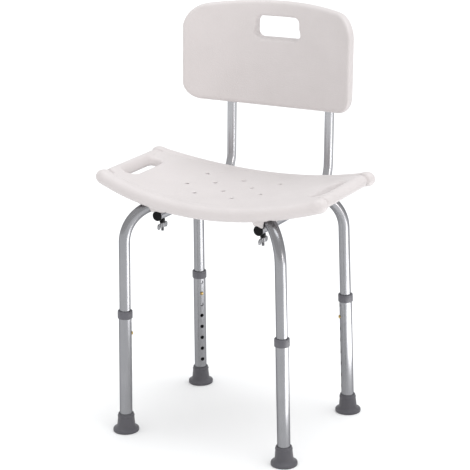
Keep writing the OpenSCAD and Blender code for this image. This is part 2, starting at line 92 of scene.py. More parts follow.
leg_lean = math.radians(1.4)
leg_bend_r = 76.0
upper_r, lower_r, wall, gap = 11.1, 12.7, 1.2, 0.35
upper_end_h, lower_start_h, lower_end_h = 180.0, 9.0, 252.5
button_h, button_r, hole_pitch = 207.5, 3.5, 25.0
holes_above, holes_below = 1, 6
collar_start_h, collar_end_h, collar_r = 240.0, 256.0, 15.0
foot_h, foot_r, foot_neck_r = 38.0, 26.0, 16.0
RUNS = {
    "frame_tube_a": (1, 457.0, math.radians(5.2), 0.0),
    "frame_tube_b": (-1, 469.0, math.radians(1.6), tube_side),
}
flat_t, flat_w, flat_half, flat_end = 11.4, 28.0, 20.0, 36.0

back_tube_x, back_tube_r, back_bend_r = 111.5, 9.5, 65.0
run_z, run_front, back_tube_top = 449.0, -110.0, 800.0
back_lean = math.radians(2.9)
line_y, line_z = 186.0, 459.0
upright_y = line_y + (run_z + back_bend_r - line_z) * math.tan(back_lean)
cross_y = back_tube_x * foot_y / foot_x
stud_r, stud_bottom, shank_bottom, stud_top = 3.0, 415.0, 446.0, 492.0
nut_h, washer_h, washer_r = 9.0, 7.6, 5.5
plug_cap, plug_sunk = 2.0, 2.05

panel_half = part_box("back_panel")[1].x / MM
panel_t, panel_r, panel_front = 22.0, 315.0, -36.0
panel_low, panel_high = 616.0 - line_z, 830.0 - line_z
panel_mid_y = panel_front + panel_r - math.sqrt(panel_r**2 - back_tube_x**2)
panel_arch_r, panel_belly_r, top_corner_r, low_corner_r = 1076.0, 1568.0, 42.0, 33.0
panel_edge_r, rib_half_w = 8.0, 14.0
grip_w, grip_h, grip_z, grip_corner = 96.0, 42.0, 778.0 - line_z, 12.0
grip_drop, grip_edge_r = 5.0, 5.0


def place(points):
    """Chair millimetres to the frame's metres."""
    return np.asarray(points, float) * MM + np.array(legs_mid)


# ---- Mesh helpers ----


def new_piece(name, points, faces, body, slot, replaces=(), uv=None, angle=None, look=None):
    """A mesh in frame metres that rides on a body and takes the slot's material, or another look."""
    mesh = bpy.data.meshes.new(name)
    mesh.from_pydata(np.asarray(points).tolist(), [], [list(map(int, f)) for f in faces])
    if uv is not None:
        layer = mesh.uv_layers.new(name="UVMap")
        loops = np.empty(len(mesh.loops), np.int64)
        mesh.loops.foreach_get("vertex_index", loops)
        layer.data.foreach_set("uv", np.asarray(uv, float)[loops].ravel())
    piece = bpy.data.objects.new(name, mesh)
    bpy.context.scene.collection.objects.link(piece)
    smooth(piece, angle)
    piece.data.materials.append(MATERIALS[look or slot])
    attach(piece, body)
    if replaces:
        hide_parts(*replaces)
    return piece


def smooth(piece, angle=None):
    """Smooth shading, with edges sharper than angle kept sharp."""
    mesh = piece.data
    mesh.polygons.foreach_set("use_smooth", [True] * len(mesh.polygons))
    if angle is not None:
        mesh.set_sharp_from_angle(angle=math.radians(angle))
    mesh.update()


def grid_faces(rows, columns, wrap=True, first=0):
    """Quads of a grid whose rows run along and whose columns run round."""
    faces = []
    for i in range(rows - 1):
        for j in range(columns if wrap else columns - 1):
            k = (j + 1) % columns
            a, b = first + i * columns, first + (i + 1) * columns
            faces.append((a + j, a + k, b + k, b + j))
    return faces


def lathe(profile, segments=64):
    """Points and faces of a profile of (radius, height) turned round Z. A radius of 0 closes it."""
    points, faces, rings = [], [], []
    turn = np.arange(segments) * 2 * math.pi / segments
    for radius, height in profile:
        if radius < 1e-6:
            rings.append([len(points)] * segments)
            points.append((0.0, 0.0, height))
        else:
            rings.append(list(range(len(points), len(points) + segments)))
            points += [(radius * math.cos(t), radius * math.sin(t), height) for t in turn]
    for low, high in zip(rings[:-1], rings[1:]):
        for j in range(segments):
            k = (j + 1) % segments
            face = [low[j], low[k], high[k], high[j]]
            face = [v for i, v in enumerate(face) if v != face[i - 1]]
            if len(set(face)) > 2:
                faces.append(tuple(dict.fromkeys(face)))
    return np.array(points), faces


def arc(cx, cz, r, start, end, steps=8):
    """Profile points along an arc, angles in degrees."""
    return [
        (cx + r * math.cos(math.radians(a)), cz + r * math.sin(math.radians(a)))
        for a in np.linspace(start, end, steps)
    ]


def turned(points, rotation, origin):
    """Points turned by a matrix and moved to an origin."""
    return np.asarray(points) @ np.array(rotation.to_3x3()).T + np.array(origin)


def foot_at(corner):
    """Where a leg's axis meets the floor."""
    sx, sy = CORNERS[corner]
    return sx * foot_x + (tube_side if sx * sy < 0 else 0.0), sy * foot_y, 0.0


def leg_frame(corner):
    """Rotation and origin of a leg: its axis is +Z, outward is +X."""
    sx, sy = CORNERS[corner]
    turn = math.atan2(sy * foot_y, sx * foot_x)
    rotation = Matrix.Rotation(turn, 4, "Z") @ Matrix.Rotation(-leg_lean, 4, "Y")
    return rotation, foot_at(corner)


def sweep(path, side, section):
    """Points, faces and UVs of a closed section carried along a path in one plane.

    side is the plane's normal; section(i) gives the outline at point i as (across, up) pairs.
    """
    path, side = np.asarray(path, float), np.asarray(side, float)
    ahead = np.gradient(path, axis=0)
    ahead /= np.linalg.norm(ahead, axis=1)[:, None]
    up = np.cross(ahead, side)
    length = np.concatenate([[0], np.cumsum(np.linalg.norm(np.diff(path, axis=0), axis=1))])
    points, uv = [], []
    for i, p in enumerate(path):
        outline = section(i)
        points += [p + side * a + up[i] * b for a, b in outline]
        uv += [(j / len(outline), length[i] * MM) for j in range(len(outline))]
    return np.array(points), grid_faces(len(path), len(section(0))), uv


def circle(radius, segments=48):
    """A round outline for sweep()."""
    t = np.arange(segments) * 2 * math.pi / segments
    return np.stack([radius * np.cos(t), radius * np.sin(t)], 1)


def hollow(path, side, outer, inner):
    """A tube with a wall: the outer sweep, the inner one turned inside out, and two end rings."""
    points, faces, uv = sweep(path, side, outer)
    inside, inner_faces, inner_uv = sweep(path, side, inner)
    columns, base = len(outer(0)), len(points)
    faces = faces + [tuple(base + v for v in f[::-1]) for f in inner_faces]
    last = base - columns
    for j in range(columns):
        k = (j + 1) % columns
        faces.append((j, base + j, base + k, k))
        faces.append((last + k, last + base + k, last + base + j, last + j))
    return np.vstack([points, inside]), faces, uv + inner_uv


def carve(piece, cutters, angle=30):
    """Cuts closed meshes out of a piece with exact booleans, and applies them."""
    for points, faces in cutters:
        mesh = bpy.data.meshes.new("cutter")
        mesh.from_pydata(np.asarray(points).tolist(), [], [list(map(int, f)) for f in faces])
        tool = bpy.data.objects.new("cutter", mesh)
        bpy.context.scene.collection.objects.link(tool)
        cut = piece.modifiers.new("cut", "BOOLEAN")
        cut.operation, cut.solver, cut.object = "DIFFERENCE", "EXACT", tool
        evaluated = piece.evaluated_get(bpy.context.evaluated_depsgraph_get())
        result = bpy.data.meshes.new_from_object(evaluated)
        piece.modifiers.clear()
        old, piece.data = piece.data, result
        bpy.data.meshes.remove(old)
        bpy.data.objects.remove(tool)
        bpy.data.meshes.remove(mesh)
    smooth(piece, angle)


# ---- Solids from distance fields, for the moulded parts ----


def blend_min(a, b, k):
    """Joins two solids with a fillet about k wide."""
    h = np.clip(0.5 + 0.5 * (b - a) / k, 0, 1)
    return b * (1 - h) + a * h - k * h * (1 - h)


def blend_max(a, b, k):
    """Keeps what two solids share, with the edge softened over about k."""
    return -blend_min(-a, -b, k)


def smoothstep(t):
    """0 to 1 with a soft start and end."""
    t = np.clip(t, 0, 1)
    return t * t * (3 - 2 * t)


def length_of(*parts):
    """Length of a vector given by its parts."""
    return np.sqrt(sum(p * p for p in parts))


def rounded(edge, thick, r):
    """Joins the distance to an outline and the distance to a thickness with an edge of radius r."""
    a, b = edge + r, thick + r
    return length_of(np.maximum(a, 0), np.maximum(b, 0)) + np.minimum(np.maximum(a, b), 0) - r


def rounded_rect(x, z, half_x, half_z, r):
    """Distance to a rectangle with round corners."""
    return rounded(np.abs(x) - half_x, np.abs(z) - half_z, r)


def surface_net(field, low, high, step):
    """Points and quads of the surface where field is 0, on a grid, then moved onto the surface."""
    low = np.asarray(low, float)
    count = np.ceil((np.asarray(high) - low) / step).astype(int) + 1
    axes = [low[i] + step * np.arange(count[i]) for i in range(3)]
    value = np.empty(count, np.float32)
    for i in range(0, count[0], 8):
        block = np.stack(np.meshgrid(axes[0][i : i + 8], axes[1], axes[2], indexing="ij"), -1)
        value[i : i + 8] = field(block[..., 0], block[..., 1], block[..., 2])
    inside = value < 0
    cells = tuple(count - 1)
    total, crossings = np.zeros(cells + (3,), np.float32), np.zeros(cells, np.uint8)
    quads = []
    index = np.full(cells, -1, np.int64)
    edges = []
    for axis in range(3):
        near = [slice(None)] * 3
        far = [slice(None)] * 3
        near[axis], far[axis] = slice(0, -1), slice(1, None)
        a, b = value[tuple(near)], value[tuple(far)]
        crossed = inside[tuple(near)] != inside[tuple(far)]
        at = np.argwhere(crossed)
        t = a[crossed] / (a[crossed] - b[crossed])
        point = at.astype(np.float32)
        point[:, axis] += t
        others = [o for o in range(3) if o != axis]
        around = []
        for i, j in ((0, 0), (1, 0), (1, 1), (0, 1)):
            cell = at.copy()
            cell[:, others[0]] -= i
            cell[:, others[1]] -= j
            around.append(cell)
            np.add.at(total, tuple(cell.T), point)
            np.add.at(crossings, tuple(cell.T), 1)
        edges.append((axis, around, inside[tuple(near)][crossed]))
    used = crossings > 0
    index[used] = np.arange(used.sum())
    points = total[used] / crossings[used][:, None] * step + low
    for axis, around, starts_inside in edges:
        quad = np.stack([index[tuple(c.T)] for c in around], 1)
        flip = starts_inside if axis == 1 else ~starts_inside
        quad[flip] = quad[flip][:, ::-1]
        quads.append(quad)
    for _ in range(4):
        points = onto_surface(field, points, step)
    return points, np.vstack(quads)


def onto_surface(field, points, step):
    """One Newton step towards the surface, no longer than half a cell."""
    x, y, z = points.T
    h = 0.05
    here = field(x, y, z)
    slope = np.stack(
        [
            field(x + h, y, z) - field(x - h, y, z),
            field(x, y + h, z) - field(x, y - h, z),
            field(x, y, z + h) - field(x, y, z - h),
        ],
        1,
    ) / (2 * h)
    move = slope * (here / np.maximum((slope**2).sum(1), 0.2))[:, None]
    size = np.linalg.norm(move, axis=1)
    move *= np.minimum(1, 0.5 * step / np.maximum(size, 1e-9))[:, None]
    return points - move


# ---- Materials ----


def material(name, base, rough, metallic=0.0, **inputs):
    """A Principled material with constants on its own sockets; returns it with a node maker."""
    made = bpy.data.materials.new(name)
    made.use_nodes = True
    nodes, links = made.node_tree.nodes, made.node_tree.links
    shader = nodes["Principled BSDF"]
    shader.inputs["Base Color"].default_value = (*base, 1)
    shader.inputs["Roughness"].default_value = rough
    shader.inputs["Metallic"].default_value = metallic
    for key, value in inputs.items():
        shader.inputs[key.replace("_", " ")].default_value = value

    def node(kind, settings=None, **sockets):
        """A node; sockets maps an input's name to a constant or to another node's output."""
        n = nodes.new("ShaderNode" + kind)
        for key, value in (settings or {}).items():
            setattr(n, key, value)
        for key, value in sockets.items():
            socket = n.inputs[int(key[1:])] if key[0] == "_" else n.inputs[key.replace("_", " ")]
            if isinstance(value, bpy.types.NodeSocket):
                links.new(value, socket)
            else:
                socket.default_value = value
        return n

    return made, shader, node, links


def ramp(node, fac, stops):
    """A colour ramp with (place, colour) stops."""
    n = node("ValToRGB", Fac=fac)
    band = n.color_ramp
    for i, (place_at, colour) in enumerate(stops):
        stop = band.elements[i] if i < 2 else band.elements.new(place_at)
        stop.position, stop.color = place_at, (*colour, 1)
    return n.outputs["Color"]


def moulded(name, base, shade, rough, pebble_mm, pebble_height, sheen=0.0, spec=0.4):
    """Blow-moulded or injected plastic: pebble grain, slight mottling, uneven gloss."""
    made, shader, node, links = material(name, base, rough, Specular_IOR_Level=spec, Sheen_Weight=sheen)
    where = node("TexCoord").outputs["Object"]
    mottle = node("TexNoise", Vector=where, Scale=14.0, Detail=3.0, Roughness=0.55).outputs["Fac"]
    links.new(ramp(node, mottle, [(0.3, shade), (0.7, base)]), shader.inputs["Base Color"])
    gloss = node("TexNoise", Vector=where, Scale=60.0, Detail=2.0).outputs["Fac"]
    spread = node("MapRange", _0=gloss, _3=rough - 0.05, _4=rough + 0.07).outputs[0]
    links.new(spread, shader.inputs["Roughness"])
    cells = 1 / (pebble_mm * MM)
    cell = node("TexVoronoi", {"feature": "SMOOTH_F1"}, Vector=where, Scale=cells, Smoothness=0.6)
    fine = node("TexNoise", Vector=where, Scale=2.2 * cells, Detail=2.0).outputs["Fac"]
    mixed = node("Math", {"operation": "MULTIPLY_ADD"}, _0=fine, _1=0.5, _2=cell.outputs["Distance"])
    bump = node("Bump", {"invert": True}, Strength=0.35, Distance=pebble_height * MM, Height=mixed.outputs[0])
    links.new(bump.outputs["Normal"], shader.inputs["Normal"])
    return made


def drawn_tube(name, base, rough):
    """Satin anodised tube: fine draw lines along it, and faint bands of gloss. Uses UVs: round, along."""
    made, shader, node, links = material(name, base, rough, metallic=1.0, Specular_Tint=(0.35, 0.35, 0.37, 1))
    where = node("TexCoord").outputs["UV"]
    lines = node("Mapping", Vector=where, Scale=(190.0, 7.0, 1.0)).outputs[0]
    drawn = node("TexNoise", Vector=lines, Scale=1.0, Detail=4.0, Roughness=0.6).outputs["Fac"]
    spread = node("MapRange", _0=drawn, _3=rough - 0.07, _4=rough + 0.08).outputs[0]
    links.new(spread, shader.inputs["Roughness"])
    spot = node("TexCoord").outputs["Object"]
    cloudy = node("TexNoise", Vector=spot, Scale=22.0, Detail=3.0).outputs["Fac"]
    tone = tuple(0.93 * c for c in base)
    links.new(ramp(node, cloudy, [(0.35, tone), (0.65, base)]), shader.inputs["Base Color"])
    bump = node("Bump", Strength=0.12, Distance=0.02 * MM, Height=drawn)
    links.new(bump.outputs["Normal"], shader.inputs["Normal"])
    return made


def turned_metal(name, base, shade, rough):
    """Plated or plain small hardware: mottled plating and worn high spots."""
    made, shader, node, links = material(name, base, rough, metallic=1.0)
    where = node("TexCoord").outputs["Object"]
    patches = node("TexNoise", Vector=where, Scale=260.0, Detail=4.0).outputs["Fac"]
    links.new(ramp(node, patches, [(0.3, shade), (0.62, base)]), shader.inputs["Base Color"])
    spread = node("MapRange", _0=patches, _3=rough - 0.08, _4=rough + 0.12).outputs[0]
    links.new(spread, shader.inputs["Roughness"])
    bump = node("Bump", Strength=0.15, Distance=0.05 * MM, Height=patches)
    links.new(bump.outputs["Normal"], shader.inputs["Normal"])
    return made


LOOKS = {
    "cream_plastic": (moulded, (0.625, 0.586, 0.582), (0.60, 0.562, 0.557), 0.46, 1.9, 0.8),
    "aluminium_tube": (drawn_tube, (0.30, 0.30, 0.313), 0.26),
    # The same tube metal made lighter: a painted highlight for the brighter reflections the back tubes catch.
    "bright_tube": (drawn_tube, (0.42, 0.42, 0.435), 0.24),
    "grey_plastic": (moulded, (0.115, 0.113, 0.128), (0.10, 0.098, 0.112), 0.42, 0.9, 0.08),
    "grey_rubber": (moulded, (0.088, 0.086, 0.097), (0.072, 0.070, 0.080), 0.62, 0.7, 0.10, 0.15),
    "black_plastic": (moulded, (0.005, 0.005, 0.006), (0.003, 0.003, 0.004), 0.45, 0.8, 0.05, 0.0, 0.12),
    "steel": (turned_metal, (0.25, 0.25, 0.26), (0.17, 0.17, 0.175), 0.34),
    "brass": (turned_metal, (0.50, 0.36, 0.15), (0.40, 0.28, 0.11), 0.30),
}
MATERIALS = {name: make(name, *settings) for name, (make, *settings) in LOOKS.items()}

slot_of = {s["node"]: s["material_slot"] for s in frame["record"]["subparts"]}
for node_name, cad in frame["nodes"].items():
    cad.data.materials.clear()
    cad.data.materials.append(MATERIALS[slot_of[node_name]])


# ---- Seat ----


def seat_top(x):
    """Height of the sitting field at x."""
    return dish_z - math.sqrt(seat_r**2 - x**2)


DRAINS = [
    (col * drain_pitch - 12, seat_mid_y - 4 + (row - 1.5) * drain_pitch)
    for row in range(4)
    for col in range(-2, 3)
    if (row + col) % 2
]
boss_top = seat_top(90) - 6


def run_distance(x, y, z, run):
    """Distance along and across a frame tube's run, and height above its centre line."""
    turn, mid_z, dip, side = run
    ux, uy = foot_x / diagonal, turn * foot_y / diagonal
    along, across = (x - side) * ux + y * uy, -(x - side) * uy + y * ux
    return along, across, z - mid_z - np.abs(along) * math.tan(dip)


def seat_field(x, y, z):
    """Distance to the seat. u runs along the dish, v from front to rear, w down from the field."""
    rho = np.hypot(x, dish_z - z)
    u, v, w = seat_r * np.arctan2(x, dish_z - z), y - seat_mid_y, rho - seat_r
    au = np.abs(u)
    # The two long edges bow towards each other at the seat's ends.
    bow = np.where(v < 0, front_bow, rear_bow)
    edge_v = seat_depth / 2 - rim_r - bow * (np.minimum(au, bow_x + 4) / bow_x) ** 2
    slope = np.sqrt(1 + (2 * bow * au / bow_x**2) ** 2)
    out_v = (np.abs(v) - edge_v) / slope
    slab = rounded(np.maximum(au - bar_x - 2, out_v), np.abs(w - seat_t / 2) - seat_t / 2, slab_edge_r)
    rim = length_of(np.maximum(au - (seat_half - rim_r + 4), 0), out_v, w - rim_r + rim_proud) - rim_r
    bar = length_of(np.abs(x) - bar_x, z - bar_z, np.maximum(out_v, 0)) - bar_r
    body = blend_min(blend_min(slab, bar, 5), rim, 5)
    # A shallow line sets the rolled edge off from the sitting field.
    line = line_deep * np.exp(-(((out_v + line_in) / line_half) ** 2))
    body = body + np.where(w < seat_t / 2, line, 0)
    bx, by = np.abs(x) - boss_x, np.abs(y) - boss_y
    cone = np.hypot(bx, by) - boss_r - (z - boss_z) * boss_flare / (boss_top - boss_z)
    boss = blend_max(blend_max(cone, boss_z - z, 4), z - boss_top, 2)
    body = blend_min(body, boss, 9)
    # The rolled rims stand clear of the bars' ends.
    notch = notch_deep * np.exp(-(((out_v + notch_in) / notch_half) ** 2))
    body = body + notch * np.clip((np.abs(x) - slot_x - slot_w / 2 + 4) / 6, 0, 1)
    # The handle slots narrow downwards.
    slot_side = slot_w / 2 + slot_taper * (slot_true_at - w)
    along = np.maximum(np.abs(v + slot_ahead) - (slot_l - slot_w) / 2, 0)
    slot = length_of(along, np.abs(x) - slot_x) - slot_side
    body = blend_max(body, -slot, slot_edge_r)
    for hx, hy in DRAINS:
        hole = np.hypot(x - hx, y - hy) - drain_r
        body = blend_max(body, -hole, drain_edge_r)
    for run in RUNS.values():
        along, across, height = run_distance(x, y, z, run)
        channel = np.hypot(across, np.maximum(height, 0)) - upper_r - 0.5
        body = blend_max(body, -blend_max(channel, np.abs(along) - channel_half, 4), 3)
    saddle = np.hypot(np.abs(x) - back_tube_x, z - run_z) - back_tube_r - 1.0
    return blend_max(body, -saddle, 1.5)


def build_seat():
    low = (-seat_half - 8, seat_front - 4, boss_z - 4)
    high = (seat_half + 8, seat_rear + 4, seat_z + seat_rise + 8)
    points, quads = surface_net(seat_field, low, high, 2.0)
    new_piece("seat", place(points), quads, "chair", "cream_plastic", ["seat_panel"])


# ---- Back panel ----


def to_panel(y, z):
    """Chair coordinates to the frame that leans with the back tubes."""
    dy, dz = y - line_y, z - line_z
    c, q = math.cos(back_lean), math.sin(back_lean)
    return dy * c - dz * q, dy * q + dz * c


def panel_field(x, y, z):
    """Distance to the back panel. w runs backwards from its curved front face."""
    y, z = to_panel(y, z)
    w = np.hypot(x, y - panel_mid_y + panel_r) - panel_r
    mid = (panel_low + panel_high) / 2
    side = np.abs(x) - panel_half
    arch = np.hypot(x, z - panel_high + panel_arch_r) - panel_arch_r
    belly = np.hypot(x, z - panel_low - panel_belly_r) - panel_belly_r
    outline = np.where(z > mid, rounded(side, arch, top_corner_r), rounded(side, belly, low_corner_r))
    body = rounded(outline, np.abs(w - panel_t / 2) - panel_t / 2, panel_edge_r)
    rib_low, rib_high = panel_low + 20, back_tube_top - line_z + 10
    rib_mid, rib_half = (rib_low + rib_high) / 2, (rib_high - rib_low) / 2
    rib_front = panel_front + 14
    rib = rounded(
        rounded_rect(np.abs(x) - back_tube_x, z - rib_mid, rib_half_w, rib_half, 6),
        np.abs(y - rib_front / 2) + rib_front / 2,
        3,
    )
    rib = np.maximum(rib, 6 - w)
    body = blend_min(body, rib, 5)
    tube = np.hypot(np.abs(x) - back_tube_x, np.minimum(y, 0)) - back_tube_r - 0.3
    body = blend_max(body, -blend_max(tube, z - (back_tube_top - line_z) - 4, 2), 1.5)
    # The grip slot's lower lip drops towards the front.
    drop = grip_drop * np.clip(1 - w / panel_t, 0, 1) * np.clip((grip_z - z) / 16, 0, 1)
    grip = rounded_rect(x, z - grip_z, grip_w / 2, grip_h / 2, grip_corner) - drop
    return blend_max(body, -grip, grip_edge_r)


def build_panel():
    low, high = (np.array(c) / MM - np.array(legs_mid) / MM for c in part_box("back_panel"))
    points, quads = surface_net(panel_field, low - 4, high + 4, 2.0)
    new_piece("back_rest", place(points), quads, "chair", "cream_plastic", ["back_panel"])


# ---- Tubes ----


def frame_path(mid_z, dip):
    """A frame tube's centre line as (distance from the middle, height), from leg to leg."""
    r = leg_bend_r
    start_z = (
        mid_z
        + math.tan(dip) * (diagonal - r * (math.cos(leg_lean) + math.sin(dip)))
        + r * (math.sin(leg_lean) - math.cos(dip))
    ) / (1 + math.tan(dip) * math.tan(leg_lean))
    start_x = diagonal - math.tan(leg_lean) * start_z
    cx, cz = start_x - r * math.cos(leg_lean), start_z - r * math.sin(leg_lean)
    low_z = upper_end_h * math.cos(leg_lean)
    half = [(diagonal - math.tan(leg_lean) * h, h) for h in np.linspace(low_z, start_z, 24)[:-1]]
    angles = np.linspace(leg_lean, math.pi / 2 + dip, 40)
    half += [(cx + r * math.cos(a), cz + r * math.sin(a)) for a in angles]
    end_x = half[-1][0]
    run = np.concatenate([np.linspace(end_x, flat_end + 8, 10)[1:], np.linspace(flat_end + 7, 1, 34)])
    half += [(s, mid_z + math.tan(dip) * math.sqrt(s * s + 30) * smoothstep(s / flat_end)) for s in run]
    return half + [(-s, h) for s, h in half[::-1]]


def pressed(s, radius):
    """Section of a frame tube at distance s: round, or pressed flat near the middle."""
    t = np.arange(48) * 2 * math.pi / 48
    c, q = np.cos(t), np.sin(t)
    c[np.abs(c) < 1e-9] = 0
    flat = np.stack([(flat_w - flat_t) / 2 * np.sign(c) + (flat_t / 2) * c, (flat_t / 2) * q], 1)
    shrink = upper_r - radius
    flat -= shrink * np.stack([c, q], 1)
    f = 1 - float(smoothstep((abs(s) - flat_half) / (flat_end + 6 - flat_half)))
    return flat * f + circle(radius) * (1 - f)


def build_frame_tubes():
    for name, (turn, mid_z, dip, shift) in RUNS.items():
        flat_path = frame_path(mid_z, dip)
        ux, uy = foot_x / diagonal, turn * foot_y / diagonal
        path = [(s * ux + shift, s * uy, h) for s, h in flat_path]
        side = (-uy, ux, 0)
        points, faces, uv = hollow(
            path,
            side,
            lambda i: pressed(flat_path[i][0], upper_r),
            lambda i: pressed(flat_path[i][0], upper_r - wall),
        )
        new_piece(name + "_bent", place(points), faces, "chair", "aluminium_tube", [name], uv, 40)


def build_back_tubes():
    r = back_bend_r
    bend_y = upright_y - r / math.cos(back_lean)
    bend_z = run_z + r
    path = [(y, run_z) for y in np.linspace(run_front, bend_y, 16)[:-1]]
    angles = np.linspace(-math.pi / 2, -back_lean, 36)
    path += [(bend_y + r * math.cos(a), bend_z + r * math.sin(a)) for a in angles]
    top_y = upright_y + (back_tube_top - bend_z) * math.tan(back_lean)
    path += [tuple(p) for p in np.linspace(path[-1], (top_y, back_tube_top), 20)[1:]]
    for name, s in SIDES.items():
        line = [(s * back_tube_x, y, z) for y, z in path]
        points, faces, uv = hollow(
            line, (1, 0, 0), lambda i: circle(back_tube_r), lambda i: circle(back_tube_r - wall)
        )
        # The back tubes take the lightened tube metal, a painted highlight.
        new_piece(
            "back_tube_bent_" + name, place(points), faces, "chair", "aluminium_tube", ["back_tube_" + name],
            uv, 40, look="bright_tube",
        )


def build_lower_legs():
    for corner in CORNERS:
        rotation, origin = leg_frame(corner)
        path = [(0, 0, h) for h in np.linspace(lower_start_h, lower_end_h, 30)]
        points, faces, uv = hollow(
            path, (0, 1, 0), lambda i: circle(lower_r, 64), lambda i: circle(lower_r - wall - 0.05, 64)
        )
        leg = new_piece(
            "leg_tube_" + corner, place(turned(points, rotation, origin)), faces, "leg_" + corner,
            "aluminium_tube", ["lower_leg_" + corner], uv, 40,
        )
        hole_r, reach = button_r + 0.4, lower_r + 2
        pin, pin_faces = lathe([(0, 0), (hole_r, 0), (hole_r, reach), (0, reach)], 32)
        holes, hole_faces = [], []
        for i in range(-holes_below, holes_above + 1):
            across = Matrix.Rotation(-math.pi / 2, 4, "Y")
            hole = turned(pin, across, (0, 0, button_h + i * hole_pitch))
            hole_faces += [tuple(len(holes) * len(pin) + v for v in face) for face in pin_faces]
            holes.append(turned(hole, rotation, origin))
        carve(leg, [(place(np.vstack(holes)), hole_faces)])


# ---- Turned parts on the legs ----


def build_collars():
    low, high, r = collar_start_h, collar_end_h, collar_r
    grip_r, bore_r = lower_r + 0.03, upper_r + gap
    profile = [(grip_r, low), (r - 1.2, low)]
    profile += arc(r - 1.2, low + 1.2, 1.2, -90, 0, 5)
    profile += [(r, high - 4.4), (r - 0.35, high - 4.0), (r - 0.35, high - 3.6), (r - 0.1, high - 3.2)]
    profile += arc(r - 2.1, high - 2.0, 2.0, 0, 90, 6)
    profile += [(bore_r + 0.3, high), (bore_r, high - 0.3), (bore_r, low + 13.1), (grip_r, low + 13.1)]
    profile.append(profile[0])
    for corner in CORNERS:
        rotation, origin = leg_frame(corner)
        points, faces = lathe(profile, 72)
        new_piece(
            "leg_collar_" + corner, place(turned(points, rotation, origin)), faces, "leg_" + corner,
            "grey_plastic", ["collar_" + corner], angle=35,
        )


def build_feet():
    r, neck = foot_r, foot_neck_r
    profile = [(0, 1.2), (r - 6, 1.2), (r - 5, 0)]
    profile += arc(r - 1.5, 1.5, 1.5, -90, 0, 5) + arc(r - 2.5, 4.5, 2.5, 0, 70, 6)
    profile += [(r - 4.2, 7.6), (r - 6.3, 9.6), (r - 7.9, 13.0)]
    profile += [(neck + 1.3, 22.0), (neck + 0.5, foot_h - 7.2)]
    profile += arc(neck - 0.8, foot_h - 5.4, 1.9, -40, 60, 6)
    profile += [(neck - 0.2, foot_h - 2.2)] + arc(neck - 1.6, foot_h - 1.4, 1.4, 0, 90, 5)
    profile += [(lower_r + 0.03, foot_h), (lower_r + 0.03, lower_start_h - 2), (0, lower_start_h - 2)]
    for corner, (sx, sy) in CORNERS.items():
        points, faces = lathe(profile, 80)
        lean = math.tan(leg_lean) * np.maximum(points[:, 2] - 2, 0)
        points[:, 0] -= lean
        turn = Matrix.Rotation(math.atan2(sy * foot_y, sx * foot_x), 4, "Z")
        new_piece(
            "rubber_tip_" + corner, place(turned(points, turn, foot_at(corner))), faces, "leg_" + corner,
            "grey_rubber", ["foot_" + corner], angle=50,
        )


def build_buttons():
    tip = lower_r + 3
    back = upper_r - wall - 2.2
    profile = [(0, back), (button_r - 0.3, back), (button_r, back + 0.3), (button_r, tip - 2.0)]
    angles = np.linspace(0.1, math.pi / 2, 9)
    profile += [(button_r * math.cos(a), tip - 2.0 + 2.0 * math.sin(a)) for a in angles]
    for corner in CORNERS:
        rotation, origin = leg_frame(corner)
        points, faces = lathe(profile, 40)
        points = turned(points, Matrix.Rotation(-math.pi / 2, 4, "Y"), (0, 0, button_h))
        new_piece(
            "button_" + corner, place(turned(points, rotation, origin)), faces, "button_" + corner, "brass",
            ["snap_button_" + corner], angle=50,
        )


# ---- Plugs and hardware ----


def build_plugs():
    r, bore = back_tube_r, back_tube_r - wall - 0.05
    profile = [(0, 0), (r * 0.72, 0.0)] + arc(r - 0.8, 1.4, 1.4, -90, 0, 6)
    profile += [(r + 0.6, plug_cap), (bore, plug_cap), (bore, 9.5), (bore - 1.5, 10.5), (0, 10.5)]
    points, faces = lathe(profile, 56)
    for name, s in SIDES.items():
        front = (s * back_tube_x, run_front - plug_sunk, run_z)
        ahead = turned(points, Matrix.Rotation(-math.pi / 2, 4, "X"), front)
        new_piece(
            "plug_" + name, place(ahead), faces, "chair", "black_plastic", ["front_plug_" + name], angle=40
        )
    top_y = upright_y + (back_tube_top - run_z - back_bend_r) * math.tan(back_lean)
    lean = Matrix.Rotation(-back_lean, 4, "X") @ Matrix.Rotation(math.pi, 4, "X")
    both, all_faces = [], []
    for s in SIDES.values():
        off = np.array(lean.to_3x3()) @ np.array((0, 0, -plug_sunk))
        both.append(turned(points, lean, np.array((s * back_tube_x, top_y, back_tube_top)) + off))
        all_faces += [tuple(v + (len(both) - 1) * len(points) for v in f) for f in faces]
    points = place(np.vstack(both))
    new_piece("plugs_top", points, all_faces, "chair", "black_plastic", ["top_plugs"], angle=40)


def thread(bottom, top, r, pitch=1.0, segments=28):
    """A threaded rod with chamfered ends, as one closed surface."""
    rows = int((top - bottom) / (pitch / 6)) + 1
    turn = np.arange(segments) * 2 * math.pi / segments
    points = []
    for h in np.linspace(bottom, top, rows):
        phase = ((h - bottom) / pitch - turn / (2 * math.pi)) % 1
        depth = 0.61 * pitch * np.abs(2 * phase - 1)
        taper = min(1.0, min(h - bottom, top - h) / 1.2 + 0.55)
        radius = np.minimum(r - depth * 0.8, r * (0.74 + 0.26 * taper))
        points += [(q * math.cos(t), q * math.sin(t), h) for q, t in zip(radius, turn)]
    faces = grid_faces(rows, segments)
    points += [(0, 0, bottom), (0, 0, top)]
    low, high, last = len(points) - 2, len(points) - 1, (rows - 1) * segments
    for j in range(segments):
        k = (j + 1) % segments
        faces += [(low, k, j), (high, last + j, last + k)]
    return np.array(points), faces


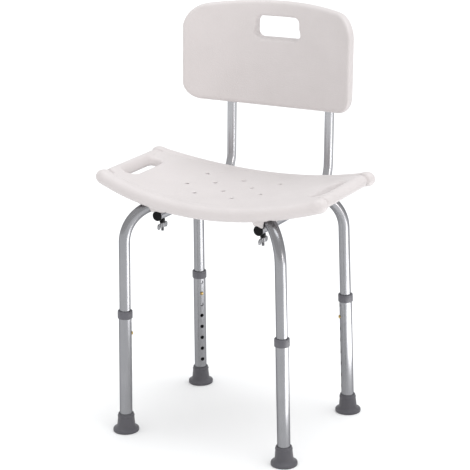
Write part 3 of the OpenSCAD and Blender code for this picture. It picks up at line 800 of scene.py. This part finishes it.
def wing_nut_field(x, y, z):
    """A wing nut with its hub on Z from 0 to 9 and its wings along X."""
    hub = blend_max(np.hypot(x, y) - 6.1 + z * 0.12, np.abs(z - 4.5) - 4.5, 1.0)
    ax = np.abs(x)
    wing = length_of(ax - 13.2, (z - 2.2) * 0.9) - 5.4
    arm_mid = 4.2 - np.clip(ax - 4, 0, 10) * 0.2
    arm = np.maximum(np.abs(z - arm_mid) - 3.6, ax - 13)
    flat = blend_min(wing, arm, 2.5)
    blade = blend_max(flat, np.abs(y) - 1.35 + 0.03 * (ax - 6), 1.0)
    body = blend_min(hub, blade, 1.6)
    return blend_max(body, -(np.hypot(x, y) - stud_r - 0.05), 0.5)


def build_wing_nuts():
    points, quads = surface_net(wing_nut_field, (-20, -8, -5), (20, 8, 11), 0.5)
    for name, s in SIDES.items():
        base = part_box("wing_nut_" + name)[1].z / MM - nut_h
        spun = turned(points, Matrix.Rotation(math.radians(90), 4, "Z"), (s * back_tube_x, -cross_y, base))
        new_piece("wing_" + name, place(spun), quads, "wing_nut_" + name, "steel", ["wing_nut_" + name])
        inner = stud_r + 0.3
        washer, washer_faces = lathe(
            [(inner, 0.3), (inner + 0.3, 0)] + arc(washer_r - 0.6, 0.6, 0.6, -90, 0, 4)
            + [(washer_r, washer_h - 0.7), (washer_r - 0.9, washer_h), (inner, washer_h), (inner, 0.3)],
            40,
        )
        washer_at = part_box("stud_washer_" + name)[0].z / MM
        ring = washer + np.array((s * back_tube_x, -cross_y, washer_at))
        new_piece(
            "washer_ring_" + name, place(ring), washer_faces, "washer_" + name, "black_plastic",
            ["stud_washer_" + name], angle=40,
        )
        rod, rod_faces = thread(stud_bottom, shank_bottom, stud_r)
        shank_r = stud_r - 0.1
        shank_line = [(0, shank_bottom), (shank_r, shank_bottom), (shank_r, stud_top), (0, stud_top)]
        shank, shank_faces = lathe(shank_line, 28)
        both = np.vstack([rod, shank]) + np.array((s * back_tube_x, -cross_y, 0))
        faces = rod_faces + [tuple(len(rod) + v for v in f) for f in shank_faces]
        new_piece("stud_" + name, place(both), faces, "chair", "steel", ["front_stud_" + name], angle=60)


def soften_cad():
    """CAD nodes that stay on show get welded faces and a small bevel."""
    for name, width in (
        ("cross_bolt", 0.4), ("rear_bolts", 0.4), ("frame_screws", 0.3), ("back_panel_screws", 0.3),
        ("tube_spacers", 0.5),
    ):
        cad = frame["nodes"][name]
        weld = cad.modifiers.new("weld", "WELD")
        weld.merge_threshold = 1e-6
        bevel = cad.modifiers.new("bevel", "BEVEL")
        bevel.width, bevel.segments = width * MM, 2
        bevel.limit_method, bevel.angle_limit = "ANGLE", math.radians(35)
        bevel.harden_normals = False


build_seat()
build_panel()
build_frame_tubes()
build_back_tubes()
build_lower_legs()
build_collars()
build_feet()
build_buttons()
build_plugs()
build_wing_nuts()
soften_cad()


# ---- Floor, light and camera ----


def build_floor():
    """A wide sheet of pale paper."""
    mesh = bpy.data.meshes.new("floor")
    edge = 40.0
    corners = [(-edge, -edge, 0), (edge, -edge, 0), (edge, edge, 0), (-edge, edge, 0)]
    mesh.from_pydata(corners, [], [(0, 1, 2, 3)])
    floor = bpy.data.objects.new("floor", mesh)
    bpy.context.scene.collection.objects.link(floor)
    mesh.materials.append(material("floor_paper", (0.93, 0.93, 0.93), 0.7, Specular_IOR_Level=0.1)[0])


def sun(name, towards, strength, spread, colour=(1, 1, 1)):
    """A distant soft light that shines from the given direction, so the floor is lit evenly."""
    data = bpy.data.lights.new(name, "SUN")
    data.energy, data.angle, data.color = strength, math.radians(spread), colour
    light = bpy.data.objects.new(name, data)
    light.location = Vector(towards) * 5
    light.rotation_euler = (-Vector(towards)).to_track_quat("-Z", "Y").to_euler()
    bpy.context.scene.collection.objects.link(light)
    return light


def floor_panel(name, middle, size, radiance):
    """A light panel that lies on the floor beside the chair and streaks its upright tubes."""
    data = bpy.data.lights.new(name, "AREA")
    data.shape, data.size, data.size_y = "RECTANGLE", size[0], size[1]
    data.energy = radiance * math.pi * size[0] * size[1]
    light = bpy.data.objects.new(name, data)
    light.location = legs_mid + Vector(middle)
    light.rotation_euler = (math.pi, 0, 0)
    light.visible_camera = False
    bpy.context.scene.collection.objects.link(light)
    return light


def build_lights():
    """Even white surroundings, a wide soft light above, and weaker ones from the right and the front."""
    world = bpy.data.worlds.new("studio")
    world.use_nodes = True
    background = world.node_tree.nodes["Background"]
    background.inputs["Color"].default_value = (1, 1, 1, 1)
    background.inputs["Strength"].default_value = 0.8
    bpy.context.scene.world = world
    sun("top", (0.15, 0.05, 1.0), 1.75, 55, (0.95, 0.98, 1.0))
    sun("side", (1.0, -0.22, 0.05), 0.6, 20, (1.0, 0.95, 0.93))
    fill = sun("front_fill", (0.1, -1.0, 0.05), 0.38, 40, (1.0, 0.93, 0.9))
    fill.visible_glossy = False
    kicker = floor_panel("kicker", (1.80, 0.12, 0.02), (2.8, 0.75), 4.2)
    kicker.visible_diffuse = False


def build_camera():
    """The camera looks at the chair from its front right, slightly from above."""
    azimuth, elevation, roll = math.radians(29.326), math.radians(17.079), math.radians(-0.923)
    distance, aside, height, focal_px, image_px = 3.38266, -0.000802, 0.39529, 1713.256, 470.0
    level = math.cos(elevation)
    back = Vector((math.sin(azimuth) * level, -math.cos(azimuth) * level, math.sin(elevation)))
    right = Vector((math.cos(azimuth), math.sin(azimuth), 0))
    up = back.cross(right)
    turned_right = right * math.cos(roll) + up * math.sin(roll)
    turned_up = up * math.cos(roll) - right * math.sin(roll)
    data = bpy.data.cameras.new("camera")
    data.sensor_width = 36.0
    data.lens = focal_px / image_px * data.sensor_width
    data.clip_start, data.clip_end = 0.05, 100.0
    camera = bpy.data.objects.new("camera", data)
    at = legs_mid + right * aside + Vector((0, 0, height)) + back * distance
    facing = Matrix((turned_right, turned_up, back)).transposed().to_4x4()
    camera.matrix_world = Matrix.Translation(at) @ facing
    bpy.context.scene.collection.objects.link(camera)
    bpy.context.scene.camera = camera


build_floor()
build_lights()
build_camera()
bpy.context.scene.view_settings.view_transform = "Standard"
bpy.context.scene.view_settings.look = "None"
